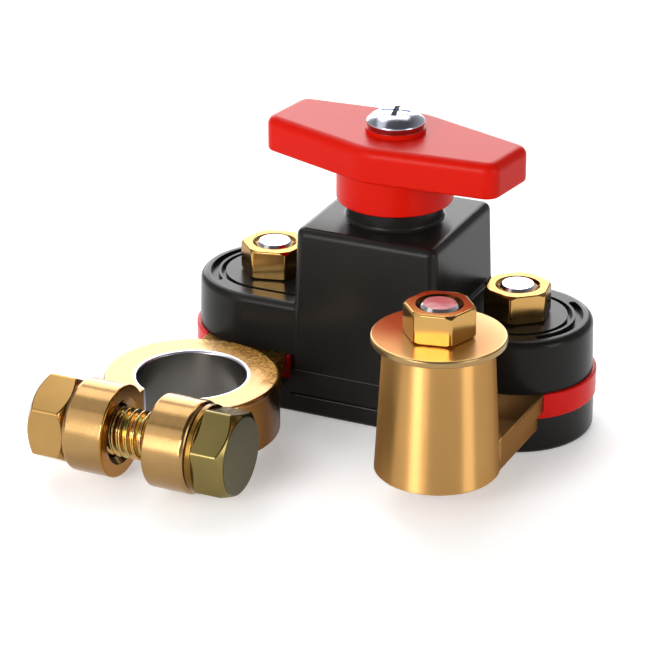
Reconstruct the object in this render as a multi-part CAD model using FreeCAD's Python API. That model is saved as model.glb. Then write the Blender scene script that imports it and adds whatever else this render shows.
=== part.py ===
# Rotary battery disconnect switch with a battery clamp and a taper post.
# Millimetres, +Z up. The origin is on the underside of the base, on the axis the handle turns
# about. X runs along the housing from the clamp side to the post side, and both terminals
# stand out towards -Y.
import FreeCAD, Part
import math
import os

V = FreeCAD.Vector
X_AXIS = V(1, 0, 0)
Z_AXIS = V(0, 0, 1)

# Housing outline: a stadium of two round lobes, seen from above.
stud_x = 21.7
lobe_r_top = 12.3
lobe_draft = 0.2
lobe_r_foot = lobe_r_top + lobe_draft
lobe_top_z = 19.2
lobe_edge_r = 1.2

# Base cover and the insulator plate on it.
base_h = 6.2
base_step = 0.3
base_r = lobe_r_foot + base_step
base_edge_r = 1.1
base_floor = 2.0
base_wall = 2.2
plate_h = 4.2
plate_step = 0.6
plate_r = lobe_r_foot + plate_step
plate_edge_r = 0.3

# Square tower round the switch axis.
tower_top_z = 32.7
tower_half_x = 12.2
tower_proud = 0.05
tower_half_y = lobe_r_top + tower_proud
tower_draft = 1.5
tower_edge_r = 1.3
tower_corner_r = 1.6
skirt_z = 8.0
skirt_wall = 1.9
seam_z = 3.5
seam_depth = 0.3
seam_h = 0.35
tower_root_r = 0.7
neck_r = 7.85
neck_h = 2.85
neck_chamfer = 0.4
neck_root_r = 0.6

# Walls and hollows of the upper housing.
lobe_wall = 2.1
lobe_roof = 3.0
tower_roof = 3.5
well_r = 9.9
stud_boss_r = 5.5

# Relief on the lobe tops: a U-shaped groove round each nut and a curved slot outside it.
groove_in_r = 8.15
groove_w = 0.8
relief_depth = 0.8
slot_in_r = 9.4
slot_w = 1.3
slot_half_angle = 48.0

# Clearances, and how far a cutting solid reaches past the face it opens or, as a share, its ring.
run_clear = 0.05
slide_clear = 0.1
air_clear = 0.3
fit_clear = 0.05
past = 1.0
wedge_share = 3.0

# Depth to which a joined solid sinks into its neighbour.
sink_in = 0.5

# Studs and their nuts.
stud_r = 3.0
stud_head_af = 10.0
stud_head_h = 3.0
stud_tip = 0.25
stud_end_chamfer = 0.45
small_nut_af = 10.0
small_nut_h = 5.0
small_nut_ease = 0.3
small_nut_crown_r = 5.1
hex_edge_r = 0.6
crown_edge_r = 0.25
crown_angle = 38.0
crown_share = 0.95
mouth_share = 0.2
stud_nut_turn = {"left": 14.0, "right": -20.0}
post_nut_turn = 11.0

# Arms of the two terminals, inside and outside the housing.
arm_t = 2.85
arm_inner_half = 8.1
arm_outer_half = {"left": 7.4, "right": 8.6}
arm_inner_x = stud_x - arm_inner_half
arm_outer_x = {side: stud_x + half for side, half in arm_outer_half.items()}
arm_reach = 6.0
arm_edge_r = 0.3
tongue_half = 7.0
rib_h = 2.8
rib_inset = 0.5
rib_groove_h = 0.5
rib_groove_depth = 0.4
terminal_reach = 18.9
terminal_y = -lobe_r_top - terminal_reach

# Battery clamp.
clamp_inset = 0.2
clamp_x = clamp_inset - stud_x
split_shift = 0.85
split_x = clamp_x - split_shift
clamp_bore_r = 8.73
clamp_ring_r = 14.08
clamp_low_z = 3.65
clamp_high_z = 13.05
clamp_lip_r = 0.5
clamp_edge_r = 0.5
clamp_gap = 6.9
lug_r = 7.45
lug_w = 7.2
lug_edge_r = 0.8
lug_rim_r = 0.35
lug_sink = 1.0
lug_reach = 15.3
lug_y = terminal_y - lug_reach
lug_z = 8.8
lug_hole_clear = 0.35
spot_face_clear = 0.4

# Bolt, nut and washer of the clamp.
bolt_r = 4.0
bolt_af = 13.0
bolt_head_h = 5.3
bolt_head_turn = 41.0
bolt_nut_h = 6.5
bolt_nut_turn = 28.0
bolt_tip = 0.8
bolt_end_chamfer = 0.6
bolt_washer_r = 7.1
bolt_washer_t = 1.2
washer_edge_r = 0.3

# Taper post.
post_inset = 0.7
post_x = stud_x - post_inset
post_base_r = 9.8
post_low_z = 5.3
post_foot_chamfer = 0.3
post_h = 21.6
post_taper = 1.0 / 18.0
post_core_r = 5.6
post_core_h = 8.5
post_tap_depth = 10.0
post_washer_r = 10.5
post_washer_t = 1.2
post_stud_tip = 0.1

# Moving contact and the plates it bridges.
contact_t = 1.4
contact_half = 4.0
contact_inner_x = 5.5
contact_outer = 5.0
pad_half = 5.0
bridge_half = 9.0
bridge_w = 6.0
bridge_t = 2.0
bridge_corner_r = 0.8
bridge_lift = 1.5

# Rotor, its seal and its spring.
shaft_r = 5.2
flange_r = 9.5
flange_t = 4.0
stop_r = 7.2
stop_half_angle = 12.0
throw = 90.0
stop_play = 0.5
barrel_r = 6.4
barrel_wall = 1.4
barrel_gap = 0.4
pin_r = 1.5
pin_low_z = 4.6
drive_half = 3.7
drive_h = 6.5
spring_pocket_h = 5.0
spring_wire_r = 0.5
spring_mean_r = 3.7
spring_turns = 4.0
seal_r = 0.75
seal_drop = 3.0
handle_turn = -8.0

# Handle.
hub_r = 9.55
hub_h = 5.6
grip_h = 5.85
grip_half = 21.6
grip_end_half = 5.8
grip_mid_half = 10.4
grip_bend_r = 9.0
grip_end_r = 2.4
grip_top_r = 1.5
grip_foot_r = 0.5
hub_edge_r = 0.3
screw_boss_r = 4.9
screw_boss_h = 0.7

# Handle screw.
screw_r = 2.5
screw_head_r = 4.8
screw_rim_h = 1.0
screw_rim_r = 0.3
screw_dome_h = 1.6
screw_length = 14.0
screw_end_chamfer = 0.5
screw_under_chamfer = 0.3
screw_hole_clear = 0.2
dome_mid = 0.72
recess_turn = 22.0
recess_depth = 1.7
recess_half = 1.3
recess_half_w = 0.25
recess_end_slope = 0.65
recess_side_slope = 0.10

# Screws that hold the base and the insulator plate to the housing.
cover_inset_x = 2.6
cover_inset_y = 3.7
cover_x = tower_half_x - cover_inset_x
cover_y = lobe_r_top - cover_inset_y
cover_r = 1.4
cover_head_r = 2.5
cover_head_h = 1.6
cover_sink = 2.0
cover_boss_r = 2.2
cover_pad_wall = 0.8
cover_length = 13.0
cover_point = 0.5
cover_recess_depth = 1.0
cover_recess_half = 0.7
cover_recess_half_w = 0.28

# Levels that follow from the sizes above.
plate_low_z = base_h
plate_top_z = plate_low_z + plate_h
arm_low_z = plate_top_z - arm_t
contact_top_z = plate_top_z + contact_t
bridge_low_z = contact_top_z + slide_clear
bridge_top_z = bridge_low_z + bridge_t
tower_spread = math.tan(math.radians(tower_draft)) * (tower_top_z - skirt_z)
neck_top_z = tower_top_z + neck_h
hub_low_z = neck_top_z + air_clear
grip_low_z = hub_low_z + hub_h
grip_top_z = grip_low_z + grip_h
screw_seat_z = grip_top_z + screw_boss_h
well_top_z = tower_top_z - tower_roof
flange_top_z = well_top_z - air_clear
flange_low_z = flange_top_z - flange_t
spring_top_z = bridge_top_z + spring_pocket_h
post_top_z = post_low_z + post_h
nut_seat_z = post_top_z + post_washer_t
cover_places = [(x, y) for x in (-cover_x, cover_x) for y in (-cover_y, cover_y)]
sides = {"left": -1, "right": 1}

os.makedirs("parts", exist_ok=True)


def save(name, shape):
    """Merges faces that lie on one surface, writes the piece and prints what it is."""
    shape = shape.removeSplitter()
    shape.exportStep("parts/" + name + ".step")
    b = shape.BoundBox
    print(name, "solids", len(shape.Solids), "valid", shape.isValid(), "volume", round(shape.Volume, 1),
          "z", round(b.ZMin, 2), round(b.ZMax, 2))


def box(x0, x1, y0, y1, z0, z1):
    return Part.makeBox(x1 - x0, y1 - y0, z1 - z0, V(x0, y0, z0))


def rod(r, z0, z1, x=0.0, y=0.0):
    return Part.makeCylinder(r, z1 - z0, V(x, y, z0))


def rod_x(r, x0, x1, y, z):
    return Part.makeCylinder(r, x1 - x0, V(x0, y, z), X_AXIS)


def turned(points, x=0.0, y=0.0):
    """Solid made by turning a closed outline of (radius, height) points about a vertical axis."""
    outline = [V(r, 0, z) for r, z in points]
    face = Part.Face(Part.makePolygon(outline + outline[:1]))
    solid = face.revolve(V(0, 0, 0), Z_AXIS, 360)
    solid.translate(V(x, y, 0))
    return solid


def stadium_wire(half, r, z):
    """Two straights joined by half circles whose centres are at +-half along X."""
    a, b, c, d = V(-half, -r, z), V(half, -r, z), V(half, r, z), V(-half, r, z)
    right = Part.Arc(b, V(half + r, 0, z), c).toShape()
    left = Part.Arc(d, V(-half - r, 0, z), a).toShape()
    return Part.Wire([Part.makeLine(a, b), right, Part.makeLine(c, d), left])


def stadium(half, r0, z0, r1, z1):
    wires = [stadium_wire(half, r0, z0), stadium_wire(half, r1, z1)]
    return Part.makeLoft(wires, True, True)


def rounded_rectangle_wire(hx, hy, r, z):
    edges = []
    s = r * (1 - math.sqrt(0.5))
    corners = [(1, 1), (-1, 1), (-1, -1), (1, -1)]
    for i, (sx, sy) in enumerate(corners):
        start = V(sx * hx, sy * (hy - r), z)
        end = V(sx * (hx - r), sy * hy, z)
        if sx * sy < 0:
            start, end = end, start
        edges.append(Part.Arc(start, V(sx * (hx - s), sy * (hy - s), z), end).toShape())
        nx, ny = corners[(i + 1) % 4]
        after = V(nx * (hx - r), ny * hy, z) if sx * sy > 0 else V(nx * hx, ny * (hy - r), z)
        edges.append(Part.makeLine(end, after))
    return Part.Wire(edges)


def edges_at(shape, z, test=None):
    """Edges of a shape that lie level at height z, and pass the test on their middle."""
    found = []
    for edge in shape.Edges:
        if is_level(edge, z):
            middle = edge.valueAt((edge.FirstParameter + edge.LastParameter) / 2)
            if test is None or test(middle):
                found.append(edge)
    return found


def edges_across(shape, x):
    """Edges of a shape that lie upright at one place along X."""
    return [e for e in shape.Edges if abs(e.BoundBox.XMin - x) < 1e-4 and abs(e.BoundBox.XMax - x) < 1e-4]


def is_level(edge, z):
    return abs(edge.BoundBox.ZMin - z) < 1e-4 and abs(edge.BoundBox.ZMax - z) < 1e-4


def is_arc(edge, r):
    return isinstance(edge.Curve, Part.Circle) and abs(edge.Curve.Radius - r) < 1e-4


def is_seam(edge, faces):
    """True where an edge lies twice in one face, which is where a round face meets itself."""
    return any(edge.isSeam(face) for face in faces)


def hex_prism(across_flats, z0, z1, turn):
    """Hexagon bar with its six long edges slightly rounded."""
    corner = across_flats / math.sqrt(3)
    points = []
    for i in range(7):
        a = math.radians(turn + 60 * i)
        points.append(V(corner * math.cos(a), corner * math.sin(a), z0))
    prism = Part.Face(Part.makePolygon(points)).extrude(V(0, 0, z1 - z0))
    upright = [e for e in prism.Edges if abs(e.BoundBox.ZLength - (z1 - z0)) < 1e-4]
    return prism.makeFillet(hex_edge_r, upright)


def crowned(body, across_flats, z0, z1, face_r, crown_low, crown_high):
    """Hexagon with its corners turned off by a cone that leaves an end face of one radius."""
    corner = across_flats / math.sqrt(3)
    drop = (corner - face_r) * math.tan(math.radians(crown_angle))
    low = [(face_r, z0), (corner, z0 + drop)] if crown_low else [(corner + past, z0)]
    high = [(corner, z1 - drop), (face_r, z1)] if crown_high else [(corner + past, z1)]
    crown = turned([(0, z0)] + low + high + [(0, z1)])
    return body.common(crown)


def hex_piece(across_flats, z0, z1, turn, crown_low, crown_high):
    """Hexagon crowned at one end or both, with the crown's edges eased."""
    solid = crowned(hex_prism(across_flats, z0, z1, turn), across_flats, z0, z1,
                    crown_share * across_flats / 2, crown_low, crown_high)
    cones = [f for f in solid.Faces if isinstance(f.Surface, Part.Cone)]
    rim = [e for e in solid.Edges if any(e.isSame(other) for f in cones for other in f.Edges)]
    return solid.makeFillet(crown_edge_r, [e for e in rim if not is_seam(e, cones)])


def drilled(body, height, hole_r):
    """Hexagon that stands on z = 0, with a hole and a countersink at each mouth of it."""
    mouth = mouth_share * hole_r
    wide_r = hole_r + mouth
    hole = turned([(0, -past), (wide_r, -past), (wide_r, 0), (hole_r, mouth), (hole_r, height - mouth),
                   (wide_r, height), (wide_r, height + past), (0, height + past)])
    return body.cut(hole)


def small_nut(turn):
    """M6 nut: its end edges are eased, and a low crown only takes off its corners."""
    body = hex_prism(small_nut_af, 0, small_nut_h, turn)
    body = body.makeFillet(small_nut_ease, edges_at(body, 0) + edges_at(body, small_nut_h))
    body = crowned(body, small_nut_af, 0, small_nut_h, small_nut_crown_r, True, True)
    return drilled(body, small_nut_h, stud_r + fit_clear)


def washer(r, hole_r, t):
    """Washer that stands on z = 0, with its outer rims rounded."""
    disc = rod(r, 0, t)
    disc = disc.makeFillet(washer_edge_r, edges_at(disc, 0) + edges_at(disc, t))
    return disc.cut(rod(hole_r, -past, t + past))


def sector(r0, r1, a0, a1, z0, z1):
    """Piece of a flat ring between two angles in degrees, less than half a turn apart."""
    ring = rod(r1, z0, z1).cut(rod(r0, z0 - past, z1 + past))
    far = wedge_share * r1
    middle = (a0 + a1) / 2
    corners = [V(0, 0, z0)]
    for a in (a0, middle, a1):
        corners.append(V(far * math.cos(math.radians(a)), far * math.sin(math.radians(a)), z0))
    wedge = Part.Face(Part.makePolygon(corners + corners[:1])).extrude(V(0, 0, z1 - z0))
    return ring.common(wedge)


def lay_along_x(shape, x, y, z):
    """Turns a piece made about +Z so that it points along +X, and moves it."""
    shape = shape.copy()
    shape.rotate(V(0, 0, 0), V(0, 1, 0), 90)
    shape.translate(V(x, y, z))
    return shape


def arm_outline(side, grow):
    """Plan of a terminal's arm: wide up to the housing wall, narrower round the stud."""
    s = sides[side]
    sx = s * stud_x
    wall = -math.sqrt((lobe_r_top - lobe_wall) ** 2 - tongue_half ** 2)
    x0, x1 = sorted((s * arm_inner_x, s * arm_outer_x[side]))
    wide = (x0 - grow, x1 + grow, terminal_y, wall + grow)
    narrow = (sx - tongue_half - grow, sx + tongue_half + grow, terminal_y, arm_reach + grow)
    return wide, narrow


def arm_block(side, z0, z1, grow=0.0):
    wide, narrow = arm_outline(side, grow)
    return box(*wide, z0, z1).fuse(box(*narrow, z0, z1))


def arm(side):
    """Arm with the rib under it that stops short of the housing, and a groove between the two."""
    s = sides[side]
    x0, x1 = sorted((s * arm_inner_x, s * arm_outer_x[side]))
    rib_x0, rib_x1 = x0 + rib_inset, x1 - rib_inset
    rib_top_z = arm_low_z - rib_groove_h
    rib = box(rib_x0, rib_x1, terminal_y, 0, arm_low_z - rib_h, rib_top_z)
    rims = [e for x in (rib_x0, rib_x1) for e in edges_across(rib, x) if is_level(e, rib_top_z)]
    rib = rib.makeFillet(arm_edge_r, rims)
    depth = rib_groove_depth
    rib = rib.fuse(box(rib_x0 + depth, rib_x1 - depth, terminal_y, 0, rib_top_z - arm_edge_r, arm_low_z))
    keep_out = plate_r + air_clear
    rib = rib.cut(stadium(stud_x, keep_out, 0, keep_out, arm_low_z + past))
    block = arm_block(side, arm_low_z, plate_top_z)
    rims = [e for x in (x0, x1) for e in edges_across(block, x) if is_level(e, plate_top_z)]
    return block.makeFillet(arm_edge_r, rims).fuse(rib)


def curved_slot(side):
    """Curved slot round the outer end of a lobe, with round ends."""
    s = sides[side]
    z0, z1 = lobe_top_z - relief_depth, lobe_top_z + past
    mid_r = slot_in_r + slot_w / 2
    a = math.radians(slot_half_angle)
    facing = 0 if s > 0 else 180
    slot = sector(slot_in_r, slot_in_r + slot_w, facing - slot_half_angle, facing + slot_half_angle, z0, z1)
    for sign in (-1, 1):
        slot = slot.fuse(rod(slot_w / 2, z0, z1, s * mid_r * math.cos(a), sign * mid_r * math.sin(a)))
    slot.translate(V(s * stud_x, 0, 0))
    return slot


def nut_groove(side):
    """Groove round the nut: a half circle that runs on to the tower as two straights."""
    s = sides[side]
    z0, z1 = lobe_top_z - relief_depth, lobe_top_z + past
    bands = []
    for r in (groove_in_r + groove_w, groove_in_r):
        disc = rod(r, z0, z1, s * stud_x)
        x0, x1 = sorted((0, s * stud_x))
        bands.append(disc.fuse(box(x0, x1, -r, r, z0, z1)))
    face_x = tower_half_x + tower_spread * (tower_top_z - z0) / (tower_top_z - skirt_z)
    return bands[0].cut(bands[1]).cut(box(-face_x, face_x, -lobe_r_top, lobe_r_top, z0, z1))


def upper_housing():
    """Lobes, square tower and neck in one moulding, hollow from below, with a stop for the rotor."""
    lobes = stadium(stud_x, lobe_r_foot, plate_top_z, lobe_r_top, lobe_top_z)
    lobes = lobes.makeFillet(lobe_edge_r, edges_at(lobes, lobe_top_z))
    foot = rounded_rectangle_wire(tower_half_x + tower_spread, tower_half_y + tower_spread,
                                  tower_corner_r, skirt_z)
    head = rounded_rectangle_wire(tower_half_x, tower_half_y, tower_corner_r, tower_top_z)
    tower = Part.makeLoft([foot, head], True, True)
    tower = tower.makeFillet(tower_edge_r, edges_at(tower, tower_top_z))
    neck = turned([(0, tower_top_z - past), (neck_r, tower_top_z - past),
                   (neck_r, neck_top_z - neck_chamfer), (neck_r - neck_chamfer, neck_top_z),
                   (0, neck_top_z)])
    body = lobes.fuse(tower)
    root_y = lobe_r_top - lobe_edge_r
    roots = edges_at(body, lobe_top_z, lambda p: abs(p.x) < stud_x / 1.5 and abs(p.y) < root_y)
    body = body.makeFillet(tower_root_r, roots).fuse(neck)
    roots = edges_at(body, tower_top_z, lambda p: abs(math.hypot(p.x, p.y) - neck_r) < fit_clear)
    body = body.makeFillet(neck_root_r, roots)
    inner_r = lobe_r_top - lobe_wall
    pocket = stadium(stud_x, inner_r, skirt_z - past, inner_r, lobe_top_z - lobe_roof)
    well = rod(well_r, skirt_z, well_top_z)
    stop = sector(stop_r + air_clear, well_r + past, -stop_half_angle, stop_half_angle,
                  flange_low_z, well_top_z)
    gate = box(-2 * stud_x, 2 * stud_x, skirt_wall - tower_half_y, tower_half_y - skirt_wall,
               skirt_z - past, plate_top_z)
    for side in sides:
        pocket = pocket.cut(rod(stud_boss_r, contact_top_z, lobe_top_z, sides[side] * stud_x))
    for x, y in cover_places:
        pocket = pocket.cut(rod(cover_boss_r, plate_top_z, lobe_top_z, x, y))
    body = body.cut(pocket).cut(well.cut(stop)).cut(gate)
    body = body.cut(rod(shaft_r + run_clear, well_top_z - past, neck_top_z + past))
    for side in sides:
        body = body.cut(nut_groove(side)).cut(curved_slot(side))
        body = body.cut(rod(stud_r + fit_clear, plate_top_z, lobe_top_z + past, sides[side] * stud_x))
    for x, y in cover_places:
        body = body.cut(rod(cover_r + fit_clear, plate_top_z - past, cover_sink + cover_length, x, y))
    return body


def insulator_plate():
    """Plate that parts the two housings, shows as a band, and holds the arms in its top."""
    plate = stadium(stud_x, plate_r, plate_low_z, plate_r, plate_top_z)
    rims = edges_at(plate, plate_low_z) + edges_at(plate, plate_top_z)
    plate = plate.makeFillet(plate_edge_r, rims)
    inner_y = tower_half_y - skirt_wall - fit_clear
    bay_x = tower_half_x + tower_spread + fit_clear
    far = 2 * plate_r
    for y0, y1 in ((-far, -inner_y), (inner_y, far)):
        plate = plate.cut(box(-bay_x, bay_x, y0, y1, plate_low_z - past, plate_top_z + past))
    pad_r = well_r - air_clear
    pad = rod(pad_r, plate_top_z, contact_top_z).common(
        box(-pad_half, pad_half, -pad_r, pad_r, plate_top_z, contact_top_z))
    plate = plate.fuse(pad)
    for side in sides:
        plate = plate.cut(arm_block(side, arm_low_z, plate_top_z + past, fit_clear))
        plate = plate.cut(rod(stud_r + fit_clear, plate_low_z - past, plate_top_z, sides[side] * stud_x))
    for x, y in cover_places:
        plate = plate.cut(rod(cover_r + fit_clear, plate_low_z - past, plate_top_z + past, x, y))
    return plate.cut(rod(pin_r + run_clear, plate_low_z - past, contact_top_z + past))


def base_cover():
    """Open box of the housing's plan, with pads inside for the studs and the cover screws."""
    base = stadium(stud_x, base_r, 0, base_r, base_h)
    base = base.makeFillet(base_edge_r, edges_at(base, 0))
    inner_r = base_r - base_wall
    base = base.cut(stadium(stud_x, inner_r, base_floor, inner_r, base_h + past))
    half_x = tower_half_x + tower_spread
    back_y = tower_half_y - skirt_wall
    for s in (-1, 1):
        y0, y1 = sorted((s * back_y, s * base_r))
        base = base.fuse(box(-half_x, half_x, y0, y1, base_floor, skirt_z))
        y0, y1 = sorted((s * (base_r - seam_depth), s * (base_r + past)))
        base = base.cut(box(-half_x, half_x, y0, y1, seam_z, seam_z + seam_h))
    for x, y in cover_places:
        base = base.fuse(rod(cover_head_r + cover_pad_wall, base_floor - sink_in, base_h, x, y))
    for side in sides:
        base = base.fuse(rod(stud_boss_r, base_floor - sink_in, base_h - stud_head_h, sides[side] * stud_x))
    for x, y in cover_places:
        base = base.cut(rod(cover_head_r + fit_clear, -past, cover_sink, x, y))
        base = base.cut(rod(cover_r + fit_clear, -past, base_h + past, x, y))
    return base


def clamp_terminal():
    """Cast clamp: split ring, two round lugs and the arm that runs into the housing."""
    x, y = clamp_x, terminal_y
    ring = rod(clamp_ring_r, clamp_low_z, clamp_high_z, x, y)
    ring = ring.makeFillet(clamp_edge_r, edges_at(ring, clamp_high_z) + edges_at(ring, clamp_low_z))
    lugs = []
    half = clamp_gap / 2
    for s in (-1, 1):
        outer = split_x + s * (half + lug_w)
        x0, x1 = sorted((split_x + s * half, outer))
        lug = rod_x(lug_r, x0, x1, lug_y, lug_z)
        lug = lug.makeFillet(lug_edge_r, edges_across(lug, outer))
        lugs.append(lug.makeFillet(lug_rim_r, edges_across(lug, split_x + s * half)))
    solid = ring.fuse(arm("left")).fuse(lugs)
    high = lug_z + lug_r + past
    bore = rod(clamp_bore_r, clamp_low_z - past, high, x, y)
    split = box(split_x - half, split_x + half, lug_y - lug_r - past, y, lug_z - lug_r - past, high)
    solid = solid.cut(bore)
    rims = [e for z in (clamp_low_z, clamp_high_z) for e in edges_at(solid, z) if is_arc(e, clamp_bore_r)]
    solid = solid.makeFillet(clamp_lip_r, rims).cut(split)
    hole_r = bolt_r + lug_hole_clear
    solid = solid.cut(rod_x(hole_r, split_x - half - lug_w - past, split_x + half + lug_w + past,
                            lug_y, lug_z))
    sink = turned([(0, -half - lug_sink), (hole_r, -half - lug_sink), (hole_r + lug_sink, -half),
                   (hole_r + lug_sink, half), (hole_r, half + lug_sink), (0, half + lug_sink)])
    solid = solid.cut(lay_along_x(sink, split_x, lug_y, lug_z))
    face_r = bolt_af / math.sqrt(3) + spot_face_clear
    for s in (-1, 1):
        seat = half + lug_w
        x0, x1 = sorted((split_x + s * seat, split_x + s * (seat + lug_w)))
        solid = solid.cut(rod_x(face_r, x0, x1, lug_y, lug_z))
    return solid.cut(rod(stud_r + fit_clear, arm_low_z - past, plate_top_z + past, -stud_x))


def post_terminal():
    """Taper post with the arm that runs into the housing, cored from below, tapped on top."""
    x, y = post_x, terminal_y
    top_r = post_base_r - post_taper * post_h
    post = turned([(0, post_low_z), (post_base_r - post_foot_chamfer, post_low_z),
                   (post_base_r, post_low_z + post_foot_chamfer), (top_r, post_top_z), (0, post_top_z)],
                  x, y)
    solid = post.fuse(arm("right"))
    solid = solid.cut(rod(post_core_r, arm_low_z - rib_h - past, post_low_z + post_core_h, x, y))
    solid = solid.cut(rod(stud_r + fit_clear, post_top_z - post_tap_depth, post_top_z + past, x, y))
    return solid.cut(rod(stud_r + fit_clear, arm_low_z - past, plate_top_z + past, stud_x))


def contact_plate(side):
    """Copper strip on the insulator plate, from the stud to under the bridge."""
    s = sides[side]
    x0, x1 = sorted((s * contact_inner_x, s * (stud_x + contact_outer)))
    plate = box(x0, x1, -contact_half, contact_half, plate_top_z, contact_top_z)
    return plate.cut(rod(stud_r + fit_clear, plate_top_z - past, contact_top_z + past, s * stud_x))


def terminal_stud(side):
    """Bolt that stands on its head in the base and clamps plate, arm and contact together."""
    s = sides[side]
    tip_z = lobe_top_z + small_nut_h + stud_tip
    low_z = base_h - sink_in
    shank = turned([(0, low_z), (stud_r, low_z), (stud_r, tip_z - stud_end_chamfer),
                    (stud_r - stud_end_chamfer, tip_z), (0, tip_z)])
    head = hex_piece(stud_head_af, base_h - stud_head_h, base_h, 0, True, False)
    stud = shank.fuse(head)
    stud.translate(V(s * stud_x, 0, 0))
    return stud


def stud_nut(side):
    piece = small_nut(stud_nut_turn[side])
    piece.translate(V(sides[side] * stud_x, 0, lobe_top_z))
    return piece


def post_fittings():
    """Washer, stud and nut on top of the taper post."""
    x, y = post_x, terminal_y
    disc = washer(post_washer_r, stud_r + fit_clear, post_washer_t)
    disc.translate(V(x, y, post_top_z))
    tip_z = nut_seat_z + small_nut_h + post_stud_tip
    low_z = post_top_z - post_tap_depth
    stud = turned([(0, low_z), (stud_r - stud_end_chamfer, low_z), (stud_r, low_z + stud_end_chamfer),
                   (stud_r, tip_z - stud_end_chamfer), (stud_r - stud_end_chamfer, tip_z), (0, tip_z)],
                  x, y)
    top = small_nut(post_nut_turn)
    top.translate(V(x, y, nut_seat_z))
    return {"post_washer": disc, "post_stud": stud, "post_nut": top}


def clamp_fittings():
    """Bolt through both lugs, with a washer under its head and a nut on its far end."""
    half = clamp_gap / 2 + lug_w
    disc = washer(bolt_washer_r, bolt_r + lug_hole_clear, bolt_washer_t)
    head = hex_piece(bolt_af, 0, bolt_head_h, bolt_head_turn - 90, False, True)
    length = 2 * half + bolt_washer_t + bolt_nut_h + bolt_tip
    shank = turned([(0, -length), (bolt_r - bolt_end_chamfer, -length),
                    (bolt_r, bolt_end_chamfer - length), (bolt_r, sink_in), (0, sink_in)])
    bolt = shank.fuse(head)
    seat = split_x + half
    end = hex_piece(bolt_af, 0, bolt_nut_h, bolt_nut_turn - 90, True, True)
    end = drilled(end, bolt_nut_h, bolt_r + fit_clear)
    return {"clamp_washer": lay_along_x(disc, seat, lug_y, lug_z),
            "clamp_bolt": lay_along_x(bolt, seat + bolt_washer_t, lug_y, lug_z),
            "clamp_nut": lay_along_x(end, split_x - half - bolt_nut_h, lug_y, lug_z)}


def rotor():
    """Plastic rotor: pin, slotted barrel that turns the bridge, flange, shaft and square drive.

    The flange has a gap as long as the throw and the housing's stop in it together.
    """
    top_z = hub_low_z + drive_h
    seal_z = neck_top_z - seal_drop
    groove_r = shaft_r - 2 * seal_r
    groove_half = seal_r + fit_clear
    shaft = turned([(0, flange_low_z), (flange_r, flange_low_z), (flange_r, flange_top_z),
                    (shaft_r, flange_top_z), (shaft_r, seal_z - groove_half),
                    (groove_r, seal_z - groove_half), (groove_r, seal_z + groove_half),
                    (shaft_r, seal_z + groove_half), (shaft_r, hub_low_z), (0, hub_low_z)])
    gap_low = -stop_half_angle - throw - stop_play - handle_turn
    gap_high = stop_half_angle + stop_play - handle_turn
    shaft = shaft.cut(sector(stop_r, flange_r + past, gap_low, gap_high,
                             flange_low_z - past, flange_top_z + past))
    barrel = rod(barrel_r, bridge_low_z + barrel_gap, flange_low_z + sink_in)
    barrel = barrel.cut(rod(barrel_r - barrel_wall, bridge_low_z, spring_top_z))
    mouth = bridge_w / 2 + fit_clear
    barrel = barrel.cut(box(-flange_r, flange_r, -mouth, mouth, bridge_low_z, bridge_top_z + bridge_lift))
    drive = box(-drive_half, drive_half, -drive_half, drive_half, hub_low_z - sink_in, top_z)
    solid = shaft.fuse(barrel).fuse(drive).fuse(rod(pin_r, pin_low_z, flange_low_z + sink_in))
    return solid.cut(rod(screw_r + fit_clear, screw_seat_z - screw_length - sink_in, top_z + past))


def contact_bridge():
    """Copper bar that joins the two contact plates when the switch is on."""
    bar = box(-bridge_half, bridge_half, -bridge_w / 2, bridge_w / 2, bridge_low_z, bridge_top_z)
    ends = [e for e in bar.Edges if abs(e.BoundBox.ZLength - bridge_t) < 1e-4]
    bar = bar.makeFillet(bridge_corner_r, ends)
    return bar.cut(rod(pin_r + fit_clear, bridge_low_z - past, bridge_top_z + past))


def contact_spring():
    """Coil spring between the bridge and the roof of the barrel."""
    span = spring_top_z - bridge_top_z - 2 * spring_wire_r
    helix = Part.makeHelix(span / spring_turns, span, spring_mean_r)
    circle = Part.Circle(V(spring_mean_r, 0, 0), V(0, 1, 0), spring_wire_r).toShape()
    coil = Part.Wire(helix.Edges).makePipeShell([Part.Wire([circle])], True, True)
    coil.translate(V(0, 0, bridge_top_z + spring_wire_r))
    return coil


def shaft_seal():
    """Rubber ring in the groove of the shaft."""
    seal = Part.makeTorus(shaft_r - seal_r, seal_r)
    seal.translate(V(0, 0, neck_top_z - seal_drop))
    return seal


def grip_wire(z):
    """Plan of the grip: a long hexagon, widest over the hub, with rounded bends."""
    points = [(-grip_half, -grip_end_half), (0, -grip_mid_half), (grip_half, -grip_end_half),
              (grip_half, grip_end_half), (0, grip_mid_half), (-grip_half, grip_end_half)]
    radii = [grip_end_r, grip_bend_r, grip_end_r, grip_end_r, grip_bend_r, grip_end_r]
    cuts = []
    for i, (px, py) in enumerate(points):
        here = V(px, py, z)
        before = V(*points[i - 1], z) - here
        after = V(*points[(i + 1) % len(points)], z) - here
        half = before.getAngle(after) / 2
        before.normalize()
        after.normalize()
        reach = radii[i] / math.tan(half)
        bisector = (before + after).normalize()
        middle = here + bisector * (radii[i] / math.sin(half) - radii[i])
        cuts.append((here + before * reach, middle, here + after * reach))
    edges = []
    for i, (start, middle, end) in enumerate(cuts):
        edges.append(Part.Arc(start, middle, end).toShape())
        edges.append(Part.makeLine(end, cuts[(i + 1) % len(cuts)][0]))
    return Part.Wire(edges)


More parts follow.
